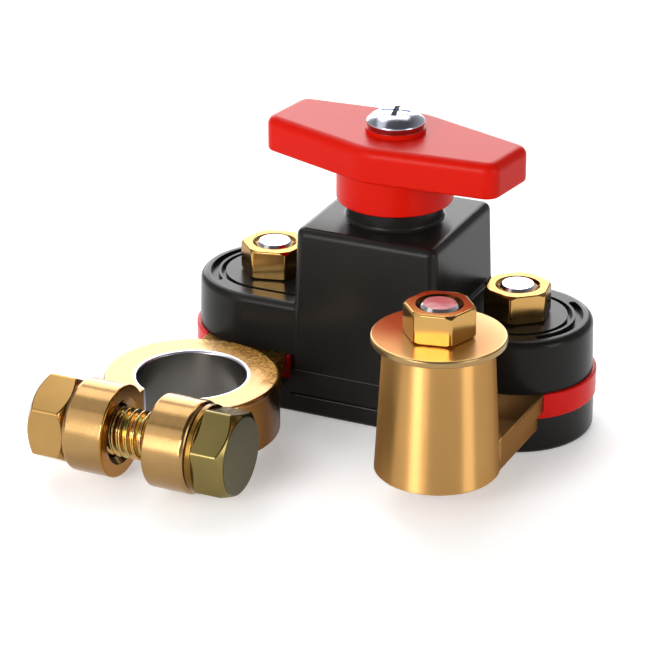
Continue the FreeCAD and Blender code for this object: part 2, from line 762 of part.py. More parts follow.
def handle():
    """Grip on a round hub, with a square socket for the rotor and a boss under the screw head."""
    grip = Part.Face(grip_wire(grip_low_z)).extrude(V(0, 0, grip_h))
    grip = grip.makeFillet(grip_top_r, edges_at(grip, grip_top_z))
    grip = grip.makeFillet(grip_foot_r, edges_at(grip, grip_low_z))
    hub = rod(hub_r, hub_low_z, grip_low_z + sink_in)
    hub = hub.makeFillet(hub_edge_r, edges_at(hub, hub_low_z))
    boss = rod(screw_boss_r, grip_top_z - sink_in, screw_seat_z)
    solid = grip.fuse(hub).fuse(boss)
    d = drive_half + fit_clear
    solid = solid.cut(box(-d, d, -d, d, hub_low_z - past, hub_low_z + drive_h + fit_clear))
    return solid.cut(rod(screw_r + screw_hole_clear, hub_low_z, screw_seat_z + past))


def cross_recess(depth, half, half_w):
    """Both arms of a cross recess that opens upwards at z = 0; ends and sides slope inwards."""
    arms = []
    for turn in (0, 90):
        wires = []
        for rise in (0, depth + past):
            a = half + recess_end_slope * rise
            b = half_w + recess_side_slope * rise
            z = rise - depth
            corners = [V(-a, -b, z), V(a, -b, z), V(a, b, z), V(-a, b, z)]
            wires.append(Part.makePolygon(corners + corners[:1]))
        arm = Part.makeLoft(wires, True, True)
        arm.rotate(V(0, 0, 0), Z_AXIS, turn)
        arms.append(arm)
    return arms[0].fuse(arms[1])


def handle_screw():
    """Pan-head screw with a cross recess; the dome is an arc from the rim to the crown."""
    z = screw_seat_z
    rim = V(screw_head_r, 0, z + screw_rim_h)
    crown = V(0, 0, z + screw_rim_h + screw_dome_h)
    shoulder = V(dome_mid * screw_head_r, 0, z + screw_rim_h + dome_mid * screw_dome_h)
    low_z = z - screw_length
    outline = [V(0, 0, low_z), V(screw_r - screw_end_chamfer, 0, low_z),
               V(screw_r, 0, low_z + screw_end_chamfer), V(screw_r, 0, z),
               V(screw_head_r - screw_under_chamfer, 0, z), rim]
    edges = [Part.makeLine(a, b) for a, b in zip(outline, outline[1:])]
    edges.append(Part.Arc(rim, shoulder, crown).toShape())
    edges.append(Part.makeLine(crown, outline[0]))
    solid = Part.Face(Part.Wire(edges)).revolve(V(0, 0, 0), Z_AXIS, 360)
    solid = solid.makeFillet(screw_rim_r, edges_at(solid, z + screw_rim_h))
    cutter = cross_recess(recess_depth, recess_half, recess_half_w)
    cutter.rotate(V(0, 0, 0), Z_AXIS, recess_turn)
    cutter.translate(crown)
    return solid.cut(cutter)


def cover_screw(x, y):
    """Screw from below, its head sunk in the base and its tip in a boss of the housing."""
    head_low = cover_sink - cover_head_h
    tip_z = cover_sink + cover_length
    solid = turned([(0, head_low), (cover_head_r, head_low), (cover_head_r, cover_sink),
                    (cover_r, cover_sink), (cover_r, tip_z - cover_point), (0, tip_z)], x, y)
    cutter = cross_recess(cover_recess_depth, cover_recess_half, cover_recess_half_w)
    cutter.rotate(V(0, 0, 0), X_AXIS, 180)
    cutter.translate(V(x, y, head_low))
    return solid.cut(cutter)


pieces = {
    "base_cover": base_cover(),
    "insulator_plate": insulator_plate(),
    "upper_housing": upper_housing(),
    "clamp_terminal": clamp_terminal(),
    "post_terminal": post_terminal(),
}
pieces.update(post_fittings())
pieces.update(clamp_fittings())
for side in sides:
    pieces["contact_plate_" + side] = contact_plate(side)
    pieces["terminal_stud_" + side] = terminal_stud(side)
    pieces["stud_nut_" + side] = stud_nut(side)
for number, (x, y) in enumerate(cover_places, 1):
    pieces["cover_screw_" + str(number)] = cover_screw(x, y)

turning = {
    "rotor": rotor(),
    "shaft_seal": shaft_seal(),
    "contact_bridge": contact_bridge(),
    "contact_spring": contact_spring(),
    "handle": handle(),
    "handle_screw": handle_screw(),
}
for name, shape in turning.items():
    shape.rotate(V(0, 0, 0), Z_AXIS, handle_turn)
    pieces[name] = shape

for name, shape in pieces.items():
    save(name, shape)
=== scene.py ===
import math

import bmesh
import bpy
import numpy as np
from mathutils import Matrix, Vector


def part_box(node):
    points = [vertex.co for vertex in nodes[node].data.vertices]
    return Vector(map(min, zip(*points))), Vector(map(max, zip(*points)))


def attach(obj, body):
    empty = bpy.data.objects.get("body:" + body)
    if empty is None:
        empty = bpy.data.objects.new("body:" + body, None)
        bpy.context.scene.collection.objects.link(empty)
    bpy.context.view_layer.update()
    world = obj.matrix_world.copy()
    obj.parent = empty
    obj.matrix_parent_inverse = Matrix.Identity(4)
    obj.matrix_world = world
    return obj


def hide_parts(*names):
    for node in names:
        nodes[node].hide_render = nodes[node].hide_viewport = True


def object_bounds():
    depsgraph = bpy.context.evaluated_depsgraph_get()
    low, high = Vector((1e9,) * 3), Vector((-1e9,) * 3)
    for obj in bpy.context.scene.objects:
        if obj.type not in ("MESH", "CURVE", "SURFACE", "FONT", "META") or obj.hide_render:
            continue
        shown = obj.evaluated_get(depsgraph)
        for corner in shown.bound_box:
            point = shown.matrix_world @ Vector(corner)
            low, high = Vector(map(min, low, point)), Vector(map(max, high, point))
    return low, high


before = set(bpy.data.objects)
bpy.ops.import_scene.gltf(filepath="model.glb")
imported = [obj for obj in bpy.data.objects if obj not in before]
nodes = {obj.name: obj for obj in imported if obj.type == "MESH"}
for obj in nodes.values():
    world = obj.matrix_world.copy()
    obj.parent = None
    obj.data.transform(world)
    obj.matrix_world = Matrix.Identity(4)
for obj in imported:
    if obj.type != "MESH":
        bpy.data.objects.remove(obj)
cad_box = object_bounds()


# Base cover, upper housing and rotor: glass-filled nylon, moulded in a spark-eroded tool whose
# fine even grain makes the black satin, so that it reads as dark grey where it mirrors light. The
# cover is screwed on from below, and the pale grey lines along the skirts' joint and seam are a
# painted highlight on those edges.
def linear(hex_colour):
    """sRGB hex string to linear RGBA."""
    channels = [int(hex_colour[i:i + 2], 16) / 255 for i in (1, 3, 5)]
    return [c / 12.92 if c <= 0.04045 else ((c + 0.055) / 1.055) ** 2.4 for c in channels] + [1.0]


def add(tree, kind, inputs=None, **settings):
    """Adds a node, sets its properties, and fills its inputs with values or other nodes' outputs.

    A mix takes its two colours as inputs 6 and 7 and gives output 2, and takes its two numbers as
    inputs 2 and 3 and gives output 0.
    """
    node = tree.nodes.new("ShaderNode" + kind)
    for name, value in settings.items():
        setattr(node, name, value)
    for name, value in (inputs or {}).items():
        if isinstance(value, bpy.types.NodeSocket):
            tree.links.new(value, node.inputs[name])
        else:
            node.inputs[name].default_value = value
    return node


def finish_of(name, **surface):
    """Starts a material: its node tree, its surface shader with plain values, and its place."""
    material = bpy.data.materials.new(name)
    material.use_nodes = True
    tree = material.node_tree
    shader = tree.nodes["Principled BSDF"]
    for socket, value in surface.items():
        shader.inputs[socket.replace("_", " ")].default_value = value
    place = add(tree, "TexCoord").outputs["Object"]
    return material, tree, shader, place


def dress(names, material):
    """Gives the material to every slot of the named CAD nodes."""
    for name in names:
        for slot in nodes[name].material_slots:
            slot.material = material


mm = 0.001
flow_mark = 9 * mm
mould_grain = 0.35 * mm  # drawn coarser than the real grain, so that it shows
grain_depth = 0.02 * mm
joint_z, seam_low_z = 8.0 * mm, 3.4 * mm
line_half = 0.09 * mm
skirt_half_x, skirt_y = 12.0 * mm, 12.0 * mm

nylon, tree, shader, place = finish_of("black_moulded_nylon", Specular_IOR_Level=0.13)
cloud = add(tree, "TexNoise", {"Vector": place, "Scale": 1 / flow_mark, "Detail": 3.0})
tone = add(tree, "Mix", {0: cloud.outputs["Fac"], 6: linear("#191817"), 7: linear("#21201E")},
           data_type="RGBA")
split = add(tree, "SeparateXYZ", {"Vector": place})
joint = add(tree, "Math", {0: split.outputs["Z"], 1: joint_z, 2: line_half}, operation="COMPARE")
seam = add(tree, "Math", {0: split.outputs["Z"], 1: seam_low_z, 2: line_half}, operation="COMPARE")
lines = add(tree, "Math", {0: joint.outputs["Value"], 1: seam.outputs["Value"]}, operation="ADD")
aside = add(tree, "Math", {0: split.outputs["X"]}, operation="ABSOLUTE")
ahead = add(tree, "Math", {0: split.outputs["Y"]}, operation="ABSOLUTE")
middle = add(tree, "Math", {0: aside.outputs["Value"], 1: skirt_half_x}, operation="LESS_THAN")
outer = add(tree, "Math", {0: ahead.outputs["Value"], 1: skirt_y}, operation="GREATER_THAN")
skirt = add(tree, "Math", {0: middle.outputs["Value"], 1: outer.outputs["Value"]},
            operation="MULTIPLY")
# Painted highlight: a thin pale grey line on the front skirts at the joint and at the seam.
painted_edge_highlight = add(tree, "Math", {0: lines.outputs["Value"], 1: skirt.outputs["Value"]},
           operation="MULTIPLY")
edged = add(tree, "Mix", {0: painted_edge_highlight.outputs["Value"], 6: tone.outputs[2], 7: linear("#585658")},
            data_type="RGBA")
tree.links.new(edged.outputs[2], shader.inputs["Base Color"])
grain = add(tree, "TexNoise", {"Vector": place, "Scale": 1 / mould_grain, "Detail": 2.0})
gloss = add(tree, "MapRange", {"Value": grain.outputs["Fac"], "To Min": 0.24, "To Max": 0.28})
tree.links.new(gloss.outputs["Result"], shader.inputs["Roughness"])
relief = add(tree, "Bump", {"Height": grain.outputs["Fac"], "Distance": grain_depth,
                            "Strength": 0.05})
tree.links.new(relief.outputs["Normal"], shader.inputs["Normal"])
dress(["base_cover", "upper_housing", "rotor"], nylon)


# Insulator plate: glass-filled polyester pressed in a polished tool, dyed red through. It parts
# the two housings and shows as a glossy band between them, and its blocks inside the arms get a
# painted shade in dark red.
arm_inner_x = 13.6 * mm
shade_width = 1 * mm
press_cloud = 4 * mm

polyester, tree, shader, place = finish_of("red_pressed_polyester", Specular_IOR_Level=0.10)
cloud = add(tree, "TexNoise", {"Vector": place, "Scale": 1 / press_cloud, "Detail": 4.0})
tone = add(tree, "Mix", {0: cloud.outputs["Fac"], 6: linear("#C2120C"), 7: linear("#D41610")},
           data_type="RGBA")
split = add(tree, "SeparateXYZ", {"Vector": place})
aside = add(tree, "Math", {0: split.outputs["X"]}, operation="ABSOLUTE")
# Painted shade: the plate darkens to dark red inward of the arms' inner faces.
inward = add(tree, "MapRange", {"Value": aside.outputs["Value"],
                                "From Min": arm_inner_x + shade_width, "From Max": arm_inner_x})
arm_painted_shade = add(tree, "Mix", {0: inward.outputs["Result"], 6: tone.outputs[2], 7: linear("#6E0A0A")},
             data_type="RGBA")
tree.links.new(arm_painted_shade.outputs[2], shader.inputs["Base Color"])
gloss = add(tree, "MapRange", {"Value": cloud.outputs["Fac"], "To Min": 0.20, "To Max": 0.30})
tree.links.new(gloss.outputs["Result"], shader.inputs["Roughness"])
dress(["insulator_plate"], polyester)


# Battery clamp: brass, sand cast with its arm, then tumbled bright. The arm and the ring beside it
# keep the mould's grain and darker skin, drawn coarser than real. The ring's wall, low and towards
# the back, gets a painted shade in dark brown, and the lugs' faces in the gap between them get a
# painted shade in deeper orange. The bore is reamed and tinned against acid, which leaves it grey
# with a bright lip.
def reach_from(tree, place, x, y):
    """Distance from the upright axis through x and y: each point's place loses its height, and
    the distance to (x, y, 0) is taken."""
    flat = add(tree, "VectorMath", {0: place, 1: (1, 1, 0)}, operation="MULTIPLY")
    reach = add(tree, "VectorMath", {0: flat.outputs[0], 1: (x, y, 0)}, operation="DISTANCE")
    return reach.outputs["Value"]


bore_x, bore_y = -21.5 * mm, -31.2 * mm
bore_r = 8.73 * mm
bore_wall_r = bore_r + 0.06 * mm
tinned_r = 9.32 * mm
ring_r, ring_top = 14.08 * mm, 13.05 * mm
ring_wall_r = ring_r + 0.1 * mm
wall_fade_z, wall_full_z = ring_top - 0.3 * mm, ring_top - 0.8 * mm
gap_x, gap_half = -22.35 * mm, 3.45 * mm
gap_face_half = gap_half + 0.2 * mm
lug_back_y = -39.0 * mm
wall_fade_y, wall_full_y = lug_back_y - 3 * mm, lug_back_y + 6 * mm
skin_slant, skin_waver = 0.6, 8 * mm
skin_fade, skin_full = -32.5 * mm, -26 * mm
waver_size = 3 * mm
sand_grain, sand_depth = 0.55 * mm, 0.16 * mm

cast_brass, tree, shader, place = finish_of("sand_cast_brass", Metallic=1.0)
split = add(tree, "SeparateXYZ", {"Vector": place})
reach = reach_from(tree, place, bore_x, bore_y)
tinned = add(tree, "Math", {0: reach, 1: tinned_r}, operation="LESS_THAN")
wall = add(tree, "Math", {0: reach, 1: bore_wall_r}, operation="LESS_THAN")
waver = add(tree, "TexNoise", {"Vector": place, "Scale": 1 / waver_size, "Detail": 3.0})
slant = add(tree, "Math", {0: split.outputs["X"], 1: skin_slant, 2: split.outputs["Y"]},
            operation="MULTIPLY_ADD")
edge = add(tree, "Math", {0: waver.outputs["Fac"], 1: skin_waver, 2: slant.outputs["Value"]},
           operation="MULTIPLY_ADD")
skin = add(tree, "MapRange", {"Value": edge.outputs["Value"], "From Min": skin_fade,
                              "From Max": skin_full}, interpolation_type="SMOOTHSTEP")
grit = add(tree, "TexNoise", {"Vector": place, "Scale": 1 / sand_grain, "Detail": 4.0,
                              "Roughness": 0.65})
speckle = add(tree, "MapRange", {"Value": grit.outputs["Fac"], "From Min": 0.42, "From Max": 0.60})
bright = add(tree, "Mix", {0: waver.outputs["Fac"], 6: linear("#92734A"), 7: linear("#A48252")},
             data_type="RGBA")
dull = add(tree, "Mix", {0: speckle.outputs["Result"], 6: linear("#70490F"), 7: linear("#B88A38")},
           data_type="RGBA")
brass = add(tree, "Mix", {0: skin.outputs["Result"], 6: bright.outputs[2], 7: dull.outputs[2]},
            data_type="RGBA")
# Painted shade: the ring's wall, below its top and towards the back, turns dark brown.
behind = add(tree, "MapRange", {"Value": split.outputs["Y"], "From Min": wall_fade_y,
                                "From Max": wall_full_y})
below = add(tree, "MapRange", {"Value": split.outputs["Z"], "From Min": wall_fade_z,
                               "From Max": wall_full_z})
low_behind = add(tree, "Math", {0: behind.outputs["Result"], 1: below.outputs["Result"]},
                 operation="MULTIPLY")
on_ring = add(tree, "Math", {0: reach, 1: ring_wall_r}, operation="LESS_THAN")
ring_wall = add(tree, "Math", {0: low_behind.outputs["Value"], 1: on_ring.outputs["Value"]},
                operation="MULTIPLY")
brown_and_painted_shade = add(tree, "Mix", {0: ring_wall.outputs["Value"], 6: brass.outputs[2],
                            7: linear("#704408")}, data_type="RGBA")
# Painted shade: the lugs' faces in the gap between them turn a deeper, darker orange.
in_gap = add(tree, "Math", {0: split.outputs["X"], 1: gap_x, 2: gap_face_half},
             operation="COMPARE")
at_lugs = add(tree, "Math", {0: split.outputs["Y"], 1: lug_back_y}, operation="LESS_THAN")
shut_in = add(tree, "Math", {0: in_gap.outputs["Value"], 1: at_lugs.outputs["Value"]},
              operation="MULTIPLY")
gap_painted_shade = add(tree, "Mix", {0: shut_in.outputs["Value"], 6: brown_and_painted_shade.outputs[2],
                             7: linear("#9C6A20")}, data_type="RGBA")
tin = add(tree, "Mix", {0: wall.outputs["Value"], 6: linear("#D6D6E4"), 7: linear("#777571")},
          data_type="RGBA")
colour = add(tree, "Mix", {0: tinned.outputs["Value"], 6: gap_painted_shade.outputs[2], 7: tin.outputs[2]},
             data_type="RGBA")
tree.links.new(colour.outputs[2], shader.inputs["Base Color"])
gloss = add(tree, "MapRange", {"Value": skin.outputs["Result"], "To Min": 0.20, "To Max": 0.38})
smooth = add(tree, "Mix", {0: tinned.outputs["Value"], 2: gloss.outputs["Result"], 3: 0.26})
tree.links.new(smooth.outputs[0], shader.inputs["Roughness"])
rough = add(tree, "MapRange", {"Value": skin.outputs["Result"], "To Min": 0.06, "To Max": 1.0})
bare = add(tree, "Math", {0: 1.0, 1: tinned.outputs["Value"]}, operation="SUBTRACT")
lift = add(tree, "Math", {0: rough.outputs["Result"], 1: bare.outputs["Value"]},
           operation="MULTIPLY")
relief = add(tree, "Bump", {"Height": grit.outputs["Fac"], "Strength": lift.outputs["Value"],
                            "Distance": sand_depth})
tree.links.new(relief.outputs["Normal"], shader.inputs["Normal"])
dress(["clamp_terminal"], cast_brass)


# Clamp bolt and its washer: steel, cold headed, zinc plated and yellow chromated. The film is
# olive on the head, brown on the washer, and thick enough on the rolled thread to shimmer from
# gold to pink and green; the thread's gold is also partly a painted reflection of the brass lugs
# beside it. The head's end face gets a painted shade, darker olive.
bolt_r, bolt_pitch = 4.0 * mm, 1.25 * mm
bolt_head_h, bolt_chamfer = 5.3 * mm, 0.6 * mm
bolt_y, bolt_z = -46.5 * mm, 8.8 * mm
low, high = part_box("clamp_bolt")
seat_x = high[0] - bolt_head_h
head_face_x = high[0] - 0.1 * mm
film_cloud = 5 * mm

chromate, tree, shader, place = finish_of("yellow_chromated_zinc", Metallic=1.0)
film = add(tree, "TexNoise", {"Vector": place, "Scale": 1 / film_cloud, "Detail": 3.0})
tone = add(tree, "Mix", {0: film.outputs["Fac"], 6: linear("#6E603A"), 7: linear("#8C7D4A")},
           data_type="RGBA")
split = add(tree, "SeparateXYZ", {"Vector": place})
# Painted shade: the head's end face is coloured darker olive than the rest of the head.
on_face = add(tree, "Math", {0: split.outputs["X"], 1: head_face_x}, operation="GREATER_THAN")
painted_shade_tone = add(tree, "Mix", {0: on_face.outputs["Value"], 6: tone.outputs[2], 7: linear("#4B4626")},
             data_type="RGBA")
on_washer = add(tree, "Math", {0: split.outputs["X"], 1: seat_x}, operation="LESS_THAN")
brown_and_painted_shade = add(tree, "Mix", {0: on_washer.outputs["Value"], 6: painted_shade_tone.outputs[2],
                            7: linear("#6E5224")}, data_type="RGBA")
tree.links.new(brown_and_painted_shade.outputs[2], shader.inputs["Base Color"])
gloss = add(tree, "MapRange", {"Value": film.outputs["Fac"], "To Min": 0.18, "To Max": 0.28})
grained = add(tree, "Mix", {0: on_face.outputs["Value"], 2: gloss.outputs["Result"], 3: 0.32})
tree.links.new(grained.outputs[0], shader.inputs["Roughness"])
dress(["clamp_bolt", "clamp_washer"], chromate)

shimmer_patch = 1.6 * mm
film_and_reflection_colours = ["#B68632", "#CAAE5E", "#C29264", "#A8AE76", "#C29C40"]
shimmer_start, shimmer_step = 0.3, 0.1

thread_film_and_painted_reflection, tree, shader, place = finish_of("chromate_and_painted_reflection_on_thread", Metallic=1.0)
film = add(tree, "TexNoise", {"Vector": place, "Scale": 1 / shimmer_patch, "Detail": 2.0})
# The ramp's colours are partly the film's shimmer and partly a painted reflection of the brass
# lugs round the thread.
film_and_reflection = add(tree, "ValToRGB", {"Fac": film.outputs["Fac"]})
stops = film_and_reflection.color_ramp.elements
for i, hue in enumerate(film_and_reflection_colours):
    stop = stops[i] if i < 2 else stops.new(1.0)
    stop.position = shimmer_start + shimmer_step * i
    stop.color = linear(hue)
tree.links.new(film_and_reflection.outputs["Color"], shader.inputs["Base Color"])
gloss = add(tree, "MapRange", {"Value": film.outputs["Fac"], "To Min": 0.14, "To Max": 0.24})
tree.links.new(gloss.outputs["Result"], shader.inputs["Roughness"])


def as_piece(name, points, faces, material, body):
    """Smooth mesh object at the origin from an array of points and a list of faces, on a body."""
    mesh = bpy.data.meshes.new(name)
    mesh.from_pydata(points.tolist(), [], faces)
    mesh.polygons.foreach_set("use_smooth", np.ones(len(mesh.polygons), dtype=bool))
    mesh.materials.append(material)
    piece = bpy.data.objects.new(name, mesh)
    bpy.context.scene.collection.objects.link(piece)
    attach(piece, body)
    return piece


def rolled_thread(major_r, pitch, start, end, chamfer, steps):
    """Rows of points of a 60 degree thread about +X, with steps rows to a turn.

    One pitch of profile is carried along a helix: the angle grows by a full turn while the place
    along the axis grows by a pitch. The profile's depth below the crest is 0 on the crest flat, an
    eighth of a pitch wide, grows along the flanks, and is full on the root flat, a sixth of a
    pitch wide, with both corners eased. Places are held between both ends, and the radius is held
    under a cone at each end.
    """
    depth = 0.6134 * pitch
    half_crest, half_root = 1 / 16, 1 / 12
    across = np.linspace(-0.5, 0.5, 12, endpoint=False)
    flank = np.clip((np.abs(across) - half_crest) / (1 / 2 - half_crest - half_root), 0.0, 1.0)
    down = depth * (0.6 * flank + 0.4 * flank ** 2 * (3 - 2 * flank))
    turns = int(np.ceil((end - start) / pitch)) + 2
    angle = np.arange(turns * steps + 1)[:, None] * 2 * np.pi / steps
    along = start - pitch + pitch * (angle / (2 * np.pi) + across[None, :])
    x = np.clip(along, start, end)
    cone = major_r - chamfer + np.minimum(x - start, end - x)
    r = np.minimum(major_r - down, np.maximum(cone, major_r - depth - chamfer))
    return np.stack([x, r * np.cos(angle), r * np.sin(angle)], axis=-1)


def strip_faces(rows, per_row, steps):
    """Faces of a helical strip: the last profile point of a row joins the first point of the row
    one turn later."""
    i = np.arange(rows - 1)[:, None]
    j = np.arange(per_row - 1)[None, :]
    inner = np.stack([i * per_row + j, (i + 1) * per_row + j, (i + 1) * per_row + j + 1,
                      i * per_row + j + 1], axis=-1).reshape(-1, 4)
    k = np.arange(rows - 1 - steps)
    seam = np.stack([k * per_row + per_row - 1, (k + 1) * per_row + per_row - 1,
                     (k + 1 + steps) * per_row, (k + steps) * per_row], axis=-1)
    return np.concatenate([inner, seam]).tolist()


def domed_tip(r, height, rim_x, steps, rings=6):
    """Points and faces of the shallow dome that closes the bolt's end and faces -X: its height
    falls with the square of the radius, from the middle to the rim."""
    share = np.linspace(0.02, 1.0, rings)[:, None]
    angle = np.arange(steps)[None, :] * 2 * np.pi / steps
    points = np.stack([rim_x - height * (1 - share ** 2) + 0 * angle, r * share * np.cos(angle),
                       r * share * np.sin(angle)], axis=-1).reshape(-1, 3)
    a, b = np.meshgrid(np.arange(rings - 1), np.arange(steps), indexing="ij")
    c = (b + 1) % steps
    sides = np.stack([a * steps + b, a * steps + c, (a + 1) * steps + c, (a + 1) * steps + b],
                     axis=-1).reshape(-1, 4)
    centre = np.arange(steps)[::-1]
    return points, sides.tolist() + [centre.tolist()]


head_back_x = seat_x - 0.2 * mm
head = bpy.data.objects.new("clamp_bolt_head", nodes["clamp_bolt"].data.copy())
bpy.context.scene.collection.objects.link(head)
cut = bmesh.new()
cut.from_mesh(head.data)
shank_faces = [face for face in cut.faces if face.calc_center_median().x < head_back_x]
bmesh.ops.delete(cut, geom=shank_faces, context="FACES")
cut.to_mesh(head.data)
cut.free()
head.data.materials.clear()
head.data.materials.append(chromate)
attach(head, "housing")

turn_steps = 40
tip_r, tip_h = bolt_r - 0.62 * mm, 0.12 * mm
thread_start, thread_end = low[0] + tip_h, seat_x + 0.1 * mm
axis = np.array([0.0, bolt_y, bolt_z])
rows = rolled_thread(bolt_r, bolt_pitch, thread_start, thread_end, bolt_chamfer, turn_steps)
thread = as_piece("clamp_bolt_thread", rows.reshape(-1, 3) + axis,
                  strip_faces(rows.shape[0], rows.shape[1], turn_steps), thread_film_and_painted_reflection, "housing")
dome, dome_faces = domed_tip(tip_r, tip_h, thread_start, turn_steps)
tip = as_piece("clamp_bolt_tip", dome + axis, dome_faces, thread_film_and_painted_reflection, "housing")
for piece in (head, thread, tip):
    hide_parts("clamp_bolt")


# Taper post: brass bar turned on a lathe, so its marks run round it, its reflections are drawn out
# into upright stripes, and its outline is darkened by an edge tint. Its arm is milled, with
# coarser marks, and gets a painted shade in darker brown. The cable's own clamp goes on it.
post_x, post_y = 21.0 * mm, -31.2 * mm
post_foot_r = 9.9 * mm
turning_pitch, milling_pitch = 0.35 * mm, 0.45 * mm  # both coarser than real, so that they show
wave_length = 0.314  # metres between two bands of a wave texture of scale 1
mark_depth = 0.006 * mm
tarnish_cloud = 12 * mm

turned_brass, tree, shader, place = finish_of(
    "turned_brass", Metallic=1.0, Roughness=0.37, Anisotropic=1.0, Anisotropic_Rotation=0.25,
    Specular_Tint=(0.30, 0.30, 0.38, 1))
cloud = add(tree, "TexNoise", {"Vector": place, "Scale": 1 / tarnish_cloud, "Detail": 2.0})
tone = add(tree, "Mix", {0: cloud.outputs["Fac"], 6: linear("#C29458"), 7: linear("#CE9F60")},
           data_type="RGBA")
spoke = add(tree, "VectorMath", {0: place, 1: (post_x, post_y, 0)}, operation="SUBTRACT")
round_it = add(tree, "VectorMath", {0: (0, 0, 1), 1: spoke.outputs[0]}, operation="CROSS_PRODUCT")
tree.links.new(round_it.outputs[0], shader.inputs["Tangent"])
marks = add(tree, "TexWave", {"Vector": place, "Scale": wave_length / turning_pitch,
                              "Distortion": 1.5, "Detail": 2.0}, bands_direction="Z")
milled = add(tree, "TexWave", {"Vector": place, "Scale": wave_length / milling_pitch,
                               "Distortion": 0.6, "Detail": 1.0}, bands_direction="Z")
on_arm = add(tree, "Math", {0: reach_from(tree, place, post_x, post_y), 1: post_foot_r},
             operation="GREATER_THAN")
# Painted shade: the arm is coloured darker brown than the post.
painted_shade_tone = add(tree, "Mix", {0: on_arm.outputs["Value"], 6: tone.outputs[2], 7: linear("#A87E4C")},
             data_type="RGBA")
tree.links.new(painted_shade_tone.outputs[2], shader.inputs["Base Color"])
height = add(tree, "Mix", {0: on_arm.outputs["Value"], 2: marks.outputs["Fac"],
                           3: milled.outputs["Fac"]})
depth = add(tree, "MapRange", {"Value": on_arm.outputs["Value"], "To Min": 0.25, "To Max": 1.0})
relief = add(tree, "Bump", {"Height": height.outputs[0], "Distance": mark_depth,
                            "Strength": depth.outputs["Result"]})
tree.links.new(relief.outputs["Normal"], shader.inputs["Normal"])
dress(["post_terminal"], turned_brass)


# Nuts of all studs and the washer under the post's nut: machined brass. The nuts were barrel
# polished, so flats are bright and slightly wavy, with a painted shade in dark brown in the mouth
# round the post's stud. The clamp's nut was tumbled with the casting, and the washer faced on a
# lathe, satin, with its rim coloured darker.
stud_end_r, nut_mouth_r = 2.5 * mm, 3.7 * mm
mouth_shade_r, mouth_shade_half = (stud_end_r + nut_mouth_r) / 2, (nut_mouth_r - stud_end_r) / 2
nut_cloud = 5 * mm
flat_wave, flat_wave_depth = 2.5 * mm, 0.03 * mm

nut_brass, tree, shader, place = finish_of("polished_brass", Metallic=1.0,
                                           Specular_Tint=(0.55, 0.55, 0.62, 1))
cloud = add(tree, "TexNoise", {"Vector": place, "Scale": 1 / nut_cloud, "Detail": 3.0})
tone = add(tree, "Mix", {0: cloud.outputs["Fac"], 6: linear("#B68D50"), 7: linear("#C69D5E")},
           data_type="RGBA")
# Painted shade: a dark brown ring in the nut's mouth, round the stud's end.
in_mouth = add(tree, "Math", {0: reach_from(tree, place, post_x, post_y), 1: mouth_shade_r,
                              2: mouth_shade_half}, operation="COMPARE")
mouth_painted_shade = add(tree, "Mix", {0: in_mouth.outputs["Value"], 6: tone.outputs[2],
                            7: linear("#5A3A18")}, data_type="RGBA")
tree.links.new(mouth_painted_shade.outputs[2], shader.inputs["Base Color"])
gloss = add(tree, "MapRange", {"Value": cloud.outputs["Fac"], "To Min": 0.13, "To Max": 0.22})
tree.links.new(gloss.outputs["Result"], shader.inputs["Roughness"])
waves = add(tree, "TexNoise", {"Vector": place, "Scale": 1 / flat_wave, "Detail": 1.0})
relief = add(tree, "Bump", {"Height": waves.outputs["Fac"], "Distance": flat_wave_depth,
                            "Strength": 0.35})
tree.links.new(relief.outputs["Normal"], shader.inputs["Normal"])
dress(["post_nut", "stud_nut_left", "stud_nut_right"], nut_brass)

tumbled_brass, tree, shader, place = finish_of("tumbled_brass", Metallic=1.0)
cloud = add(tree, "TexNoise", {"Vector": place, "Scale": 1 / nut_cloud, "Detail": 3.0})
tone = add(tree, "Mix", {0: cloud.outputs["Fac"], 6: linear("#987542"), 7: linear("#AA8751")},
           data_type="RGBA")
tree.links.new(tone.outputs[2], shader.inputs["Base Color"])
gloss = add(tree, "MapRange", {"Value": cloud.outputs["Fac"], "To Min": 0.15, "To Max": 0.22})
tree.links.new(gloss.outputs["Result"], shader.inputs["Roughness"])
dress(["clamp_nut"], tumbled_brass)

washer_r = 10.5 * mm
washer_rim_r = washer_r - 0.12 * mm
facing_cloud = 6 * mm

faced_brass, tree, shader, place = finish_of("faced_brass", Metallic=1.0)
cloud = add(tree, "TexNoise", {"Vector": place, "Scale": 1 / facing_cloud, "Detail": 2.0})
tone = add(tree, "Mix", {0: cloud.outputs["Fac"], 6: linear("#D0A868"), 7: linear("#E0B878")},
           data_type="RGBA")
# The rim is coloured darker than the washer's face.
on_rim = add(tree, "Math", {0: reach_from(tree, place, post_x, post_y), 1: washer_rim_r},
             operation="GREATER_THAN")
darker_rim = add(tree, "Mix", {0: on_rim.outputs["Value"], 6: tone.outputs[2], 7: linear("#9A7E54")},
              data_type="RGBA")
tree.links.new(darker_rim.outputs[2], shader.inputs["Base Color"])
gloss = add(tree, "MapRange", {"Value": cloud.outputs["Fac"], "To Min": 0.26, "To Max": 0.32})
tree.links.new(gloss.outputs["Result"], shader.inputs["Roughness"])
dress(["post_washer"], faced_brass)


# Studs: steel, nickel plated, so their ends mirror the sky almost white. Those of the housing
# stand on their heads in the base, the third is screwed into the post.
nickel_cloud = 1.5 * mm

